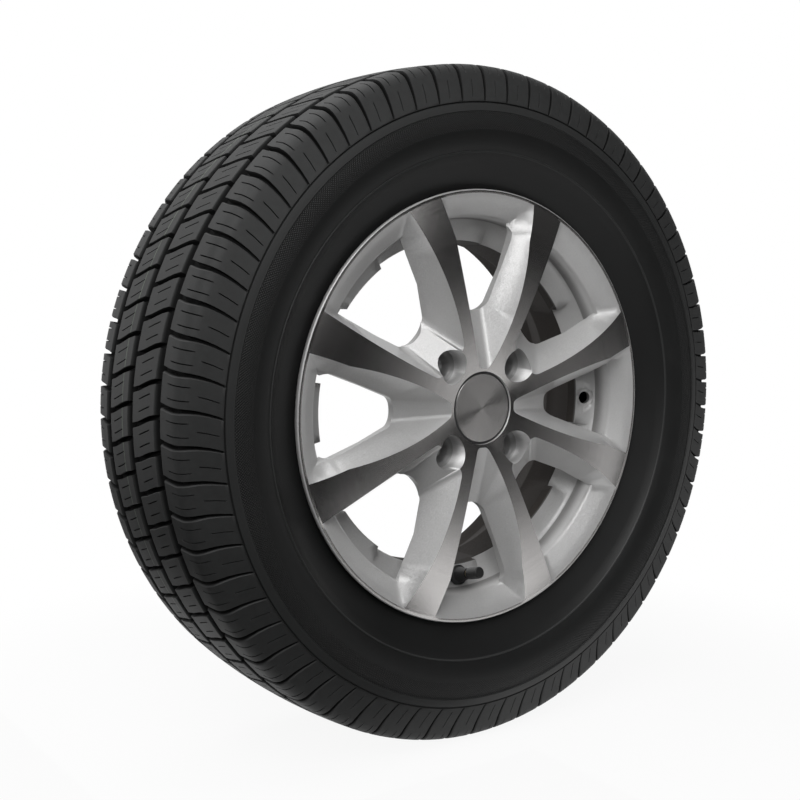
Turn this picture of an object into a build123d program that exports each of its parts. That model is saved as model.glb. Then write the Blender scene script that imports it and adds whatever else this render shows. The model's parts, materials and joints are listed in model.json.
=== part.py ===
from build123d import *
import os
from math import asin, atan2, cos, hypot, radians, sin, tan

# Wheel and tyre assembly: cast alloy wheel, tubeless tyre, snap-in valve and centre cap.
# Origin on the spin axis in the middle plane of the tyre, +Y towards the vehicle, +Z up.
# The outboard face, seen when the wheel is fitted, looks along -Y. Lengths in millimetres.

# Rim
bead_diameter = 329.4        # bead seat of a 13 inch rim
rim_width = 114.3            # between the flanges, 4.5 inch
flange_height = 17.3
flange_round = 9.5
flange_tip = 1.3             # rounding of the flange edge
seat_round = 6.5
seat_taper = 5.0             # degrees
outer_seat_width = 24.0
inner_seat_width = 19.0
well_depth = 17.7
well_start = 20.0            # outboard edge of the drop centre, from the middle plane
well_end = 7.0               # inboard edge
rim_wall = 5.5
window_wall = 4.7            # casting between the bead seat and the windows
window_round = 2.6
facet_round = 5.5           # edge between the sloped band and the windows
window_draft = 1.0           # how much the window wall draws in towards the drop centre
well_round = 6.0
flange_wall = 7.0
lip_width = 2.0              # turned edge of the lip
facet_depth = 13.0           # sloped band inside the lip

# Outboard face
face_crown_radius = 108.0    # ring of the turned face that stands furthest out
face_crown_height = 77.5     # from the middle plane, as are the heights below
hub_face_height = 65.0
spoke_back_height = 53.0
spoke_root_height = 47.0
spoke_root_radius = 90.0
pad_radius = 66.0            # bolted mounting pad
pad_flare = 4.0
inset = 30.0                 # mounting face outboard of the middle plane

# Windows, four between the bolts and four at the bolts, half widths at the reference radius
window_count = 4
window_reference = 120.0
vee_top = 35.9
vee_top_taper = 14.9         # degrees
vee_lean = 33.7              # degrees
vee_flare_taper = 25.2       # degrees, beyond the flare radius
vee_flare_radius = 140.0
vee_through = 23.2
vee_through_taper = 19.5     # degrees
vee_tip_radius = 82.0
vee_tip_height = 50.6
vee_nose_radius = 33.0
vee_nose_rise = 1.0          # floor above the hub face there
vee_tip_round = 0.92         # of the largest round that fits
vee_floor_round = 6.0
bolt_top = 43.0
bolt_top_taper = 19.0        # degrees
bolt_lean = 27.9             # degrees
bolt_through = 28.2
bolt_through_taper = 23.3    # degrees
bolt_tip_radius = 83.0
bolt_tip_height = 50.0
scoop_radius = 65.0          # where the scoop behind a bolt window meets the bolt pocket
scoop_height = 64.0
bolt_tip_round = 0.85        # of the largest round that fits
scoop_round = 8.0
window_corner_round = 9.0

# Hub and bolts
hub_bore = 57.1
bore_chamfer = 1.5
bolt_circle = 100.0
bolt_hole = 13.5
bolt_seat = 22.0
bolt_seat_angle = 60.0       # degrees
bolt_seat_height = 51.6
bolt_pocket = 29.0
relief_width = 20.0          # lightening pockets in the mounting pad
relief_depth = 9.0
relief_sweep = 34.0          # degrees

# Seats for the valve, cast pads behind the windows
seat_pad_angle = 19.0        # degrees round the rim
seat_pad_tilt = 15.0         # degrees towards the spin axis
seat_pad_height = 33.3
seat_pad_proud = 0.5         # how far a pad stands inside the barrel
valve_radius = 149.5
valve_hole = 11.4
valve_wall = 5.0
spot_face = 20.0

# Centre cap
cap_recess = 62.0
cap_diameter = 60.8
cap_flange = 3.2
cap_stand = 0.8              # how far the cap lies below the hub face
cap_neck = 55.0
cap_neck_end = 49.0          # height of the step that the legs hook behind
cap_groove = 58.0            # room for the hooks, between the neck and the hub bore
cap_groove_end = 44.5
cap_clearance = 0.3
cap_leg_wall = 2.0
cap_leg_gap = 5.0
cap_leg_count = 8
cap_leg_root = 3.0           # closed part of the skirt above the leg gaps
cap_hook = 0.8
cap_hook_length = 2.2
cap_leg_tail = 1.0           # leg beyond the hook
cap_edge = 0.5
disc_diameter = 57.6
disc_thickness = 0.8
clip_wire = 1.6
clip_sweep = 345.0           # degrees
slip = 0.05                  # clearance of small fitted pieces

# Tyre
tyre_diameter = 570.0
section_width = 170.0
tread_width = 128.0
crown_drop = 3.2
tread_thickness = 14.5
tyre_wall = 6.5
tread_depth = 7.5
groove_width = 9.0
groove_spacing = 44.0
shoulder_drop = 11.6         # end of the shoulder round, below the crown
shoulder_inset = 10.4        # and from the widest place
block_end_drop = 34.5
block_end_inset = 2.5
ridge_drop = 42.0
ridge_step = 0.7
rib_height = 29.0            # where the lower sidewall turns, above the flange
rib_inset = 6.5
widest_share = 0.4           # where the section is widest, from the ridge down to that turn
bead_width = 15.0
bead_height = 10.0
bead_wall = 9.0              # wall above the bead
toe_round = 1.0
inside_round = 6.0
bead_gap = 0.15
tread_pitches = 68
cross_groove = 4.0
cross_groove_depth = 6.0
shoulder_slant = -11.5       # degrees
centre_slant = 12.0          # degrees
shoulder_phase = 0.46        # of one pitch
far_phase = 0.25             # of one pitch, between the two halves of the tread

# Valve, lengths along its axis from the seat
stem_base_diameter = 17.0
stem_base_height = 4.0
stem_root_diameter = 13.5
stem_root_height = 5.2
stem_neck_diameter = 9.5
stem_rubber_height = 16.5
stem_foot_diameter = 16.4
stem_foot_height = 4.0
stem_rim_height = 1.5
insert_diameter = 6.6
thread_diameter = 7.7
stem_length = 30.0
thread_chamfer = 0.6
core_bore = 5.3
core_lower_bore = 4.2
core_outlet = 3.0
core_taper_top = 7.0         # below the end of the stem, as are the core's other lengths
core_taper_length = 2.8
plug_top = 1.5
plug_end = 6.5
plug_hole = 2.0
plug_key = 1.5               # height of the flats for the key
plug_key_wall = 0.5
barrel_diameter = 3.8
barrel_bore = 2.5
barrel_end = 17.0
barrel_flange = 0.6
shoulder_bore = 1.6
shoulder_thickness = 1.0
gasket_length = 2.0
gasket_wall = 0.35
pin_diameter = 1.0
pin_top = 0.4
collar_diameter = 2.1
collar_place = 9.0
collar_thickness = 0.6
seal_diameter = 3.5
seal_thickness = 2.0
pin_head = 1.8
pin_head_thickness = 0.6
pin_travel = 1.5
spring_wire = 0.32
spring_turns = 6
cap_bottom = 19.0
valve_cap_diameter = 10.0
valve_cap_top = 1.9
valve_cap_round = 1.2
cap_seal_thickness = 1.0
thread_clearance = 0.12

# Worked out from the sizes above
bead_r = bead_diameter / 2
flange_r = bead_r + flange_height
half_rim = rim_width / 2
lip_y = half_rim + flange_round + flange_tip + slip
facet_r = flange_r - flange_tip - lip_width
window_r = bead_r - window_wall
facet_y = lip_y - facet_depth
well_r = bead_r - well_depth
barrel_r = well_r - rim_wall
hub_bore_r = hub_bore / 2
crown_r = tyre_diameter / 2
half_section = section_width / 2
tread_half = tread_width / 2
block_end_r = crown_r - block_end_drop
ridge_r = crown_r - ridge_drop

os.makedirs("parts", exist_ok=True)


def window_cutter(top, taper, lean, tip, start, floor_round):
    """Dished facets of a window whose middle line runs along +Z, down to a sloping floor.

    tip and start are (radius, height) of the floor at the opening and at the hub end.
    """
    reach = 2 * flange_r
    floor_rise = (start[1] - tip[1]) / (tip[0] - start[0])
    across = tan(radians(taper))
    inward = tan(radians(lean))
    with BuildPart() as cutter:
        with Locations((0, -face_crown_height, flange_r / 2)):
            Box(reach, reach, flange_r)
        for side in (1, -1):
            facet = Plane((side * top, -face_crown_height, window_reference), z_dir=(side, inward, -across))
            split(bisect_by=facet, keep=Keep.BOTTOM)
        floor = Plane((0, -tip[1], tip[0]), z_dir=(0, 1, -floor_rise))
        split(bisect_by=floor, keep=Keep.BOTTOM)
        ground = cutter.faces().sort_by_distance((0, -tip[1], tip[0]))[0]
        fillet(ground.edges().sort_by(Edge.length)[-2:], radius=floor_round)
    return cutter.part


def flare_cutter(top, taper, lean, flare_taper, flare_r):
    """Wider outer end of such a window, on facets that turn away at the flare radius."""
    reach = 2 * flange_r
    depth = face_crown_height - spoke_back_height
    flare_top = top + tan(radians(taper)) * (flare_r - window_reference)
    across = tan(radians(flare_taper))
    inward = tan(radians(lean))
    with BuildPart() as cutter:
        with Locations((0, -face_crown_height, flange_r / 2)):
            Box(reach, 2 * depth, flange_r)
        for side in (1, -1):
            facet = Plane((side * flare_top, -face_crown_height, flare_r), z_dir=(side, inward, -across))
            split(bisect_by=facet, keep=Keep.BOTTOM)
    return cutter.part


def window_opening(half_width, taper, tip_r, tip_round):
    """Through opening of a window along +Z, as far as the casting behind the bead seat."""
    across = tan(radians(taper))
    tip_half = half_width - across * (window_reference - tip_r)
    far_half = half_width + across * (flange_r - window_reference)
    with BuildPart() as opening:
        with BuildSketch(Plane.XZ.offset(inset)) as outline:
            with BuildLine():
                Polyline((tip_half, tip_r), (far_half, flange_r), (-far_half, flange_r), (-tip_half, tip_r),
                         close=True)
            make_face()
            Circle(window_r, mode=Mode.INTERSECT)
            largest = tip_half * tan(radians(45 + taper / 2))
            fillet(outline.vertices().sort_by(Axis.Y)[:2], radius=tip_round * largest)
            fillet(outline.vertices().sort_by(Axis.Y)[-2:], radius=window_corner_round)
        extrude(amount=flange_r)
    return opening.part


vee_start = (vee_nose_radius, hub_face_height + vee_nose_rise)
vee_tip = (vee_tip_radius, vee_tip_height)
vee_facets = window_cutter(vee_top, vee_top_taper, vee_lean, vee_tip, vee_start, vee_floor_round)
vee_flare = flare_cutter(vee_top, vee_top_taper, vee_lean, vee_flare_taper, vee_flare_radius)
vee_gap = window_opening(vee_through, vee_through_taper, vee_tip_radius, vee_tip_round)
scoop_start = (scoop_radius, scoop_height)
bolt_tip = (bolt_tip_radius, bolt_tip_height)
bolt_facets = window_cutter(bolt_top, bolt_top_taper, bolt_lean, bolt_tip, scoop_start, scoop_round)
bolt_gap = window_opening(bolt_through, bolt_through_taper, bolt_tip_radius, bolt_tip_round)

# Valve axis, outboard and towards the spin axis, and the plane through it for turned pieces
valve_seat = Vector(0, -seat_pad_height, -valve_radius)
valve_dir = Vector(0, -cos(radians(seat_pad_tilt)), sin(radians(seat_pad_tilt)))
valve_axis = Axis(valve_seat, valve_dir)
valve_section = Plane(valve_seat, x_dir=(1, 0, 0), z_dir=Vector(1, 0, 0).cross(valve_dir))
valve_face = Plane(valve_seat, x_dir=(1, 0, 0), z_dir=valve_dir)


def rim_outline():
    """Corners of the rim section as (radius, y, rounding), round the tyre side and back inside."""
    taper = tan(radians(seat_taper))
    outer_seat_end = (bead_r - taper * outer_seat_width, -half_rim + outer_seat_width)
    inner_seat_end = (bead_r - taper * inner_seat_width, half_rim - inner_seat_width)
    return [
        (facet_r, -lip_y, 0), (flange_r, -lip_y, flange_tip), (flange_r, -half_rim, flange_round),
        (bead_r, -half_rim, seat_round), (*outer_seat_end, window_round), (well_r, -well_start, well_round),
        (well_r, well_end, well_round), (*inner_seat_end, window_round), (bead_r, half_rim, seat_round),
        (flange_r, half_rim, flange_round), (flange_r, lip_y, flange_tip),
        (flange_r - flange_wall, lip_y, flange_tip),
        (bead_r - flange_wall, half_rim + rim_wall / 2, well_round),
        (inner_seat_end[0] - rim_wall, inner_seat_end[1] + rim_wall / 2, well_round),
        (barrel_r, well_end + rim_wall / 2, well_round), (barrel_r, -well_start - rim_wall / 2, window_round),
        (window_r - window_draft, outer_seat_end[1] - window_wall, window_round),
        (window_r, -facet_y, facet_round),
    ]


def seat_pad():
    """Cast pad with a tilted face for the valve, behind the window that points along +Z."""
    slope = tan(radians(seat_pad_tilt))
    inner = barrel_r - seat_pad_proud
    outer = window_r - window_round
    inner_y = -seat_pad_height + slope * (valve_radius - inner)
    outer_y = -seat_pad_height + slope * (valve_radius - outer)
    with BuildPart() as pad:
        with BuildSketch():
            with BuildLine():
                Polyline((inner, inner_y), (outer, outer_y), (outer, outer_y + window_wall),
                         (well_r, -well_start - rim_wall / 2), (inner, -well_start), close=True)
            make_face()
        revolve(axis=Axis.Y, revolution_arc=seat_pad_angle)
    return pad.part.rotate(Axis.Y, -90 - seat_pad_angle / 2)


def valve_opening():
    """Valve hole through a seat pad with its spot face in the tyre chamber."""
    with BuildPart() as opening:
        with BuildSketch(valve_face):
            Circle(valve_hole / 2)
        extrude(amount=2 * valve_wall, both=True)
        with BuildSketch(valve_face.offset(-valve_wall)):
            Circle(spot_face / 2)
        extrude(amount=-3 * valve_wall)
        with BuildSketch(valve_face):
            Circle(stem_base_diameter / 2 + cap_edge)
        extrude(amount=valve_wall / 5)
    return opening.part


valve_cutter = valve_opening()
valve_pad = seat_pad()

with BuildPart() as alloy_wheel:
    with BuildSketch():
        with BuildLine():
            dome_end = (facet_r, -lip_y)
            hub_edge = (cap_recess / 2, -hub_face_height)
            ThreePointArc(hub_edge, (face_crown_radius, -face_crown_height), dome_end)
            Polyline(dome_end, (bead_r + window_wall, -half_rim - window_round),
                     (window_r + window_wall / 2, -spoke_back_height), (window_reference, -spoke_back_height),
                     (spoke_root_radius, -spoke_root_height),
                     (pad_radius + pad_flare, -inset - 2 * pad_flare), (pad_radius, -inset),
                     (0, -inset), (0, -hub_face_height), hub_edge)
        make_face()
    revolve(axis=Axis.Y)
    cutters = []
    for turn in range(window_count):
        cutters.append(vee_facets.rotate(Axis.Y, turn * 360 / window_count))
        cutters.append(vee_flare.rotate(Axis.Y, turn * 360 / window_count))
        cutters.append(vee_gap.rotate(Axis.Y, turn * 360 / window_count))
        cutters.append(bolt_facets.rotate(Axis.Y, (turn + 0.5) * 360 / window_count))
        cutters.append(bolt_gap.rotate(Axis.Y, (turn + 0.5) * 360 / window_count))
    add(cutters, mode=Mode.SUBTRACT)

    # Rim round the disc
    with BuildSketch():
        with BuildLine():
            corners = rim_outline()
            roundings = [rounding for _, _, rounding in corners]
            FilletPolyline([(r, y) for r, y, _ in corners], radius=roundings, close=True)
        make_face()
    revolve(axis=Axis.Y)

    # Seat pads behind the windows
    add([valve_pad.rotate(Axis.Y, k * 180 / window_count) for k in range(2 * window_count)])

    # Hub bore, cap neck and cap recess
    with BuildSketch():
        with BuildLine():
            Polyline((0, -face_crown_height), (cap_recess / 2, -face_crown_height),
                     (cap_recess / 2, -hub_face_height + cap_stand + cap_flange),
                     (cap_neck / 2, -hub_face_height + cap_stand + cap_flange), (cap_neck / 2, -cap_neck_end),
                     (cap_groove / 2, -cap_neck_end), (cap_groove / 2, -cap_groove_end),
                     (hub_bore_r, -cap_groove_end), (hub_bore_r, -inset - bore_chamfer),
                     (hub_bore_r + 2 * bore_chamfer, -inset + bore_chamfer), (0, -inset + bore_chamfer),
                     close=True)
        make_face()
    revolve(axis=Axis.Y, mode=Mode.SUBTRACT)

    # Bolt pockets, conical seats and holes
    seat_plane = Plane.XZ.offset(bolt_seat_height)
    with BuildSketch(seat_plane):
        with PolarLocations(bolt_circle / 2, window_count, start_angle=180 / window_count):
            Circle(bolt_pocket / 2)
    extrude(amount=face_crown_height - bolt_seat_height, mode=Mode.SUBTRACT)
    with Locations(seat_plane):
        with PolarLocations(bolt_circle / 2, window_count, start_angle=180 / window_count):
            CounterSinkHole(bolt_hole / 2, bolt_seat / 2, counter_sink_angle=bolt_seat_angle)

    # Lightening pockets in the mounting pad
    with BuildSketch(Plane.XZ.offset(inset)):
        for k in range(window_count):
            with BuildLine(mode=Mode.PRIVATE) as middle:
                CenterArc((0, 0), bolt_circle / 2, k * 360 / window_count - relief_sweep / 2, relief_sweep)
            SlotArc(middle.edge(), relief_width)
    extrude(amount=relief_depth, mode=Mode.SUBTRACT)

    # Valve hole and a spare one a quarter turn away
    add([valve_cutter, valve_cutter.rotate(Axis.Y, -90)], mode=Mode.SUBTRACT)

alloy_wheel.part.label = "alloy_wheel"
export_step(alloy_wheel.part, "parts/alloy_wheel.step")


def cross_groove_cutter(band, slant, row_y):
    """Plate that cuts one groove across a row of tread blocks; band is its (radius, y) section."""
    with BuildPart() as plate:
        with BuildSketch():
            with BuildLine():
                Polyline(band, close=True)
            make_face()
        extrude(amount=cross_groove / 2, both=True)
    return plate.part.rotate(Axis((0, row_y, 0), (1, 0, 0)), slant)


groove_r = crown_r - crown_drop * (groove_spacing / tread_half) ** 2
above_tread = crown_r + tread_depth
groove_floor = crown_r - cross_groove_depth
shoulder_y = half_section - shoulder_inset
side_floor = groove_floor - crown_drop / 2
shoulder_band = [
    (above_tread, groove_spacing), (side_floor, groove_spacing),
    (groove_floor - crown_drop, tread_half - crown_drop),
    (crown_r - shoulder_drop - cross_groove_depth, shoulder_y - cross_groove_depth / 2),
    (block_end_r, half_section - block_end_inset - cross_groove_depth / 2),
    (block_end_r, half_section + tread_depth), (above_tread, half_section + tread_depth),
]
centre_band = [(above_tread, 0), (groove_floor, 0), (side_floor, groove_spacing), (above_tread, groove_spacing)]
shoulder_middle = (groove_spacing + half_section) / 2
shoulder_cut = cross_groove_cutter(shoulder_band, shoulder_slant, shoulder_middle)
centre_cut = cross_groove_cutter(centre_band, centre_slant, groove_spacing / 2)

with BuildPart() as tyre:
    with BuildSketch():
        with BuildLine():
            # Half of the outside, from the crown down to the flange
            crown = Polyline((crown_r, 0), (groove_r, groove_spacing), (crown_r - crown_drop, tread_half))
            TangentArc(crown @ 1, (crown_r - shoulder_drop, shoulder_y), tangent=crown % 1)
            Polyline((crown_r - shoulder_drop, shoulder_y), (block_end_r, half_section - block_end_inset),
                     (block_end_r - ridge_step, half_section - block_end_inset - ridge_step),
                     (block_end_r - 2 * ridge_step, half_section - block_end_inset + ridge_step / 2),
                     (ridge_r, half_section - ridge_step),
                     (ridge_r - ridge_step, half_section - 2 * ridge_step))
            rib = (flange_r + rib_height, half_section - rib_inset)
            widest = (ridge_r - widest_share * (ridge_r - rib[0]), half_section)
            ThreePointArc((ridge_r - ridge_step, half_section - 2 * ridge_step), widest, rib)
            # Bead, a small gap off the flange and the seat
            taper = tan(radians(seat_taper))
            heel_r = bead_r + bead_gap
            toe = (heel_r - taper * bead_width, half_rim - bead_width)
            # The lower wall leaves the rounded flange on a tangent
            rise = (rib[0] - flange_r + flange_round, rib[1] - half_rim - flange_round)
            lean = atan2(rise[1], rise[0]) + asin((flange_round + bead_gap) / hypot(*rise))
            foot_r = rib[0] - (rib[1] - half_rim + bead_gap) / tan(lean)
            FilletPolyline(rib, (foot_r, half_rim - bead_gap), (heel_r, half_rim - bead_gap), toe,
                           (bead_r + bead_height, toe[1]), (rib[0], rib[1] - bead_wall),
                           (widest[0], half_section - tyre_wall),
                           (crown_r - tread_thickness - tyre_wall, shoulder_y - tyre_wall),
                           (crown_r - tread_thickness, groove_spacing), (crown_r - tread_thickness, 0),
                           radius=[flange_round + bead_gap, seat_round, toe_round, *[inside_round] * 5])
            mirror(about=Plane.XZ)
        make_face()
    revolve(axis=Axis.Y)
    # Grooves round the tread
    with BuildSketch():
        with Locations((crown_r, 0), (groove_r, groove_spacing), (groove_r, -groove_spacing)):
            Rectangle(2 * tread_depth, groove_width)
    revolve(axis=Axis.Y, mode=Mode.SUBTRACT)
    # Grooves across the four rows of blocks; one half of the tread is the other turned end for end
    pitch_angle = 360 / tread_pitches
    cuts = []
    for k in range(tread_pitches):
        near = k * pitch_angle
        far = near + far_phase * pitch_angle
        side = shoulder_phase * pitch_angle
        cuts.append(centre_cut.rotate(Axis.X, 180).rotate(Axis.Y, near))
        cuts.append(shoulder_cut.rotate(Axis.X, 180).rotate(Axis.Y, near + side))
        cuts.append(centre_cut.rotate(Axis.Y, far))
        cuts.append(shoulder_cut.rotate(Axis.Y, far - side))
    add(cuts, mode=Mode.SUBTRACT)

tyre.part.label = "tyre"
export_step(tyre.part, "parts/tyre.step")

# Centre cap: plastic flange with spring legs that hook behind the neck of the hub
cap_front = -hub_face_height + cap_stand
cap_seat = cap_front + cap_flange
leg_r = cap_neck / 2 - cap_clearance
leg_inner_r = leg_r - cap_leg_wall
hook_start = -cap_neck_end + slip
leg_end = hook_start + cap_hook_length + cap_leg_tail
ring_y = hook_start + cap_hook_length / 2
ring_r = leg_inner_r - clip_wire / 2 + cap_leg_wall / 4 - slip
with BuildPart() as centre_cap:
    with BuildSketch():
        with BuildLine():
            Polyline((0, cap_front + disc_thickness), (disc_diameter / 2 + slip, cap_front + disc_thickness),
                     (disc_diameter / 2 + slip, cap_front), (cap_diameter / 2 - cap_edge, cap_front),
                     (cap_diameter / 2, cap_front + cap_edge), (cap_diameter / 2, cap_seat),
                     (leg_r, cap_seat), (leg_r, hook_start), (leg_r + cap_hook, hook_start + cap_hook / 2),
                     (leg_r + cap_hook, hook_start + cap_hook), (leg_r - cap_edge, leg_end),
                     (leg_inner_r, leg_end), (leg_inner_r, ring_y + clip_wire / 2),
                     (leg_inner_r + cap_leg_wall / 4, ring_y + clip_wire / 2),
                     (leg_inner_r + cap_leg_wall / 4, ring_y - clip_wire / 2),
                     (leg_inner_r, ring_y - clip_wire / 2), (leg_inner_r, cap_seat), (0, cap_seat), close=True)
        make_face()
    revolve(axis=Axis.Y)
    gap_start = cap_seat + cap_leg_root
    with BuildSketch(Plane.XZ.offset(-gap_start)):
        with PolarLocations(leg_r, cap_leg_count):
            Rectangle(4 * cap_leg_wall, cap_leg_gap)
    extrude(amount=gap_start - leg_end, mode=Mode.SUBTRACT)

centre_cap.part.label = "centre_cap"
export_step(centre_cap.part, "parts/centre_cap.step")

# Turned aluminium disc let into the cap
with BuildPart() as cap_disc:
    with BuildSketch(Plane.XZ.offset(-cap_front - disc_thickness)):
        Circle(disc_diameter / 2)
    extrude(amount=disc_thickness)
    chamfer(cap_disc.edges().group_by(Axis.Y)[0], length=disc_thickness / 3)

cap_disc.part.label = "centre_cap_disc"
export_step(cap_disc.part, "parts/centre_cap_disc.step")

# Spring wire ring that spreads the legs, open at one place
with BuildPart() as clip_ring:
    with BuildSketch():
        with Locations((ring_r, ring_y)):
            Circle(clip_wire / 2)
    revolve(axis=Axis.Y, revolution_arc=clip_sweep)

clip_ring.part.label = "centre_cap_clip_ring"
export_step(clip_ring.part, "parts/centre_cap_clip_ring.step")

# Rubber stem, snapped through the hole with its foot in the tyre chamber
insert_r = insert_diameter / 2
foot_end = -valve_wall - stem_foot_height
with BuildPart() as stem_rubber:
    with BuildSketch(valve_section):
        with BuildLine():
            Polyline((insert_r + slip, foot_end), (valve_hole / 2, foot_end),
                     (stem_foot_diameter / 2, -valve_wall - stem_foot_height / 3),
                     (stem_foot_diameter / 2, -valve_wall),
                     (valve_hole / 2 - slip, -valve_wall), (valve_hole / 2 - slip, 0),
                     (stem_base_diameter / 2, 0), (stem_base_diameter / 2, stem_base_height),
                     (stem_root_diameter / 2, stem_root_height),
                     (stem_neck_diameter / 2, stem_rubber_height - stem_rim_height),
                     (stem_neck_diameter / 2, stem_rubber_height), (insert_r + slip, stem_rubber_height),
                     close=True)
        make_face()
    revolve(axis=valve_axis)

stem_rubber.part.label = "valve_stem_rubber"
export_step(stem_rubber.part, "parts/valve_stem_rubber.step")

# Brass insert with the outside thread for the cap and the bore for the core
core_seat = stem_length - core_taper_top
core_throat = core_seat - core_taper_length
barrel_foot = stem_length - barrel_end
lower_end = barrel_foot - slip - seal_thickness - pin_head_thickness - 2 * pin_travel
with BuildPart() as stem_insert:
    with BuildSketch(valve_section):
        with BuildLine():
            Polyline((core_outlet / 2, foot_end), (insert_r, foot_end), (insert_r, stem_rubber_height),
                     (thread_diameter / 2, stem_rubber_height),
                     (thread_diameter / 2, stem_length - thread_chamfer),
                     (thread_diameter / 2 - thread_chamfer, stem_length), (core_bore / 2, stem_length),
                     (core_bore / 2, core_seat), (core_lower_bore / 2, core_throat),
                     (core_lower_bore / 2, lower_end),
                     (core_outlet / 2, lower_end), close=True)
        make_face()
    revolve(axis=valve_axis)

stem_insert.part.label = "valve_stem_insert"
export_step(stem_insert.part, "parts/valve_stem_insert.step")

# Valve core: threaded plug, barrel, gasket, pin with its cup seal, and the spring
plug_foot = stem_length - plug_end
plug_head = stem_length - plug_top
with BuildPart() as core_plug:
    with BuildSketch(valve_section):
        with BuildLine():
            plug_r = core_bore / 2 - slip
            plug_neck = plug_head - plug_key
            Polyline((plug_hole / 2, plug_foot), (plug_r, plug_foot), (plug_r, plug_neck),
                     (plug_r - thread_chamfer, plug_neck), (plug_r - thread_chamfer, plug_head),
                     (plug_hole / 2, plug_head), close=True)
        make_face()
    revolve(axis=valve_axis)
    # Two flats for the key
    with BuildSketch(valve_face.offset(plug_head)):
        with Locations((0, core_bore / 2), (0, -core_bore / 2)):
            Rectangle(core_bore, core_bore - plug_hole - 2 * plug_key_wall)
    extrude(amount=-plug_key, mode=Mode.SUBTRACT)

core_plug.part.label = "valve_core_plug"
export_step(core_plug.part, "parts/valve_core_plug.step")

barrel_r_out = barrel_diameter / 2
with BuildPart() as core_barrel:
    with BuildSketch(valve_section):
        with BuildLine():
            Polyline((shoulder_bore / 2, barrel_foot), (barrel_r_out, barrel_foot),
                     (barrel_r_out, plug_foot - barrel_flange),
                     (barrel_r_out + gasket_wall, plug_foot - barrel_flange),
                     (barrel_r_out + gasket_wall, plug_foot), (barrel_bore / 2, plug_foot),
                     (barrel_bore / 2, barrel_foot + shoulder_thickness),
                     (shoulder_bore / 2, barrel_foot + shoulder_thickness), close=True)
        make_face()
    revolve(axis=valve_axis)

core_barrel.part.label = "valve_core_barrel"
export_step(core_barrel.part, "parts/valve_core_barrel.step")

# Tapered gasket between the barrel and the taper of the insert
taper_rate = (core_bore - core_lower_bore) / 2 / core_taper_length
gasket_top = min(core_seat, plug_foot - barrel_flange)
gasket_foot = gasket_top - gasket_length
gasket_r_top = core_lower_bore / 2 + taper_rate * (gasket_top - core_throat) - slip
gasket_r_foot = core_lower_bore / 2 + taper_rate * (gasket_foot - core_throat) - slip
with BuildPart() as core_gasket:
    with BuildSketch(valve_section):
        with BuildLine():
            Polyline((barrel_r_out + slip, gasket_foot), (gasket_r_foot, gasket_foot),
                     (gasket_r_top, gasket_top), (barrel_r_out + slip, gasket_top), close=True)
        make_face()
    revolve(axis=valve_axis)

core_gasket.part.label = "valve_core_gasket"
export_step(core_gasket.part, "parts/valve_core_gasket.step")

pin_r = pin_diameter / 2
seal_top = barrel_foot - slip
seal_foot = seal_top - seal_thickness
collar_foot = stem_length - collar_place - collar_thickness
with BuildPart() as valve_pin:
    with BuildSketch(valve_section):
        with BuildLine():
            Polyline((0, seal_foot - pin_head_thickness), (pin_head / 2, seal_foot - pin_head_thickness),
                     (pin_head / 2, seal_foot), (pin_r, seal_foot), (pin_r, collar_foot),
                     (collar_diameter / 2, collar_foot),
                     (collar_diameter / 2, collar_foot + collar_thickness),
                     (pin_r, collar_foot + collar_thickness), (pin_r, stem_length - pin_top),
                     (0, stem_length - pin_top), close=True)
        make_face()
    revolve(axis=valve_axis)

valve_pin.part.label = "valve_pin"
export_step(valve_pin.part, "parts/valve_pin.step")

with BuildPart() as pin_seal:
    with BuildSketch(valve_section):
        with BuildLine():
            Polyline((pin_r + slip / 2, seal_foot), (seal_diameter / 2, seal_foot),
                     (seal_diameter / 2, seal_top), (pin_r + slip / 2, seal_top), close=True)
        make_face()
    revolve(axis=valve_axis)

pin_seal.part.label = "valve_pin_seal"
export_step(pin_seal.part, "parts/valve_pin_seal.step")

spring_foot = barrel_foot + shoulder_thickness + spring_wire / 2 + slip
spring_height = collar_foot - spring_wire / 2 - slip - spring_foot
spring_r = (barrel_bore / 2 + pin_r) / 2
with BuildPart() as valve_spring:
    with BuildLine():
        coil = Helix(spring_height / spring_turns, spring_height, spring_r,
                     center=valve_seat + valve_dir * spring_foot, direction=valve_dir)
    with BuildSketch(coil ^ 0):
        Circle(spring_wire / 2)
    sweep(is_frenet=True)

valve_spring.part.label = "valve_spring"
export_step(valve_spring.part, "parts/valve_spring.step")

# Screwed dust cap and the rubber disc in its crown
cap_bore_r = thread_diameter / 2 + thread_clearance
cap_roof = stem_length + cap_seal_thickness + 2 * slip
cap_r = valve_cap_diameter / 2
with BuildPart() as valve_cap:
    with BuildSketch(valve_section):
        with BuildLine():
            FilletPolyline((cap_bore_r, cap_bottom), (cap_r, cap_bottom), (cap_r, cap_roof + valve_cap_top),
                           (0, cap_roof + valve_cap_top), (0, cap_roof), (cap_bore_r, cap_roof),
                           radius=[0, valve_cap_round / 4, valve_cap_round, 0, 0, 0], close=True)
        make_face()
    revolve(axis=valve_axis)

valve_cap.part.label = "valve_cap"
export_step(valve_cap.part, "parts/valve_cap.step")

with BuildPart() as cap_seal:
    with BuildSketch(valve_face.offset(stem_length + slip)):
        Circle(cap_bore_r - slip)
    extrude(amount=cap_seal_thickness)

cap_seal.part.label = "valve_cap_seal"
export_step(cap_seal.part, "parts/valve_cap_seal.step")
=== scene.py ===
import json
from math import atan2, cos, hypot, pi, radians, sin

import bmesh
import bpy
from mathutils import Matrix, Vector


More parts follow.
